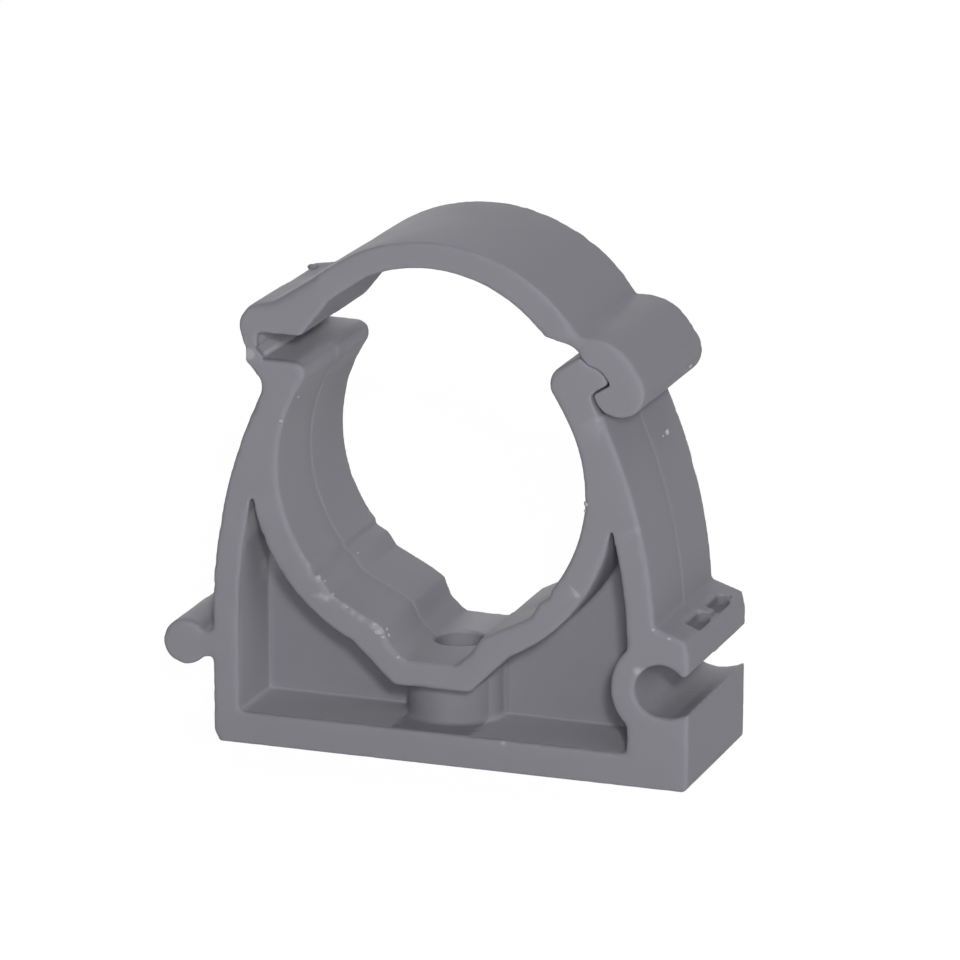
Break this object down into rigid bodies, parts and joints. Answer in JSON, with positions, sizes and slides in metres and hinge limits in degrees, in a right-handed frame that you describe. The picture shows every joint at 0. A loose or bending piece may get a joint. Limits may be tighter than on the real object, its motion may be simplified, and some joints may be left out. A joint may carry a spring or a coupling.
{
  "type": "snap-shut pipe clip",
  "caption": "Plastic saddle clip that grips a pipe between spring arms, with a hinged strap that snaps over it and side couplings for clips in a row.",
  "frame": {"origin": "on the base face, below the pipe axis, on the axis of the screw hole, at mid-depth", "axes": "+Z from the base up to the pipe, +Y along the pipe, +X towards the side with the socket"},
  "size_m": [0.0863, 0.029, 0.0832],
  "materials": {
    "grey_plastic": "satin grey, moulded"
  },
  "bodies": {
    "saddle": {"saddle": "grey_plastic", "living_hinge": "grey_plastic"},
    "strap": {"strap": "grey_plastic"}
  },
  "joints": [
    {"name": "strap_hinge", "type": "hinge", "parent": "saddle", "child": "strap", "pos_m": [-0.0292, 0, 0.0632], "axis": [0, -1, 0], "range_deg": [0, 100], "deforming": ["living_hinge"]}
  ]
}
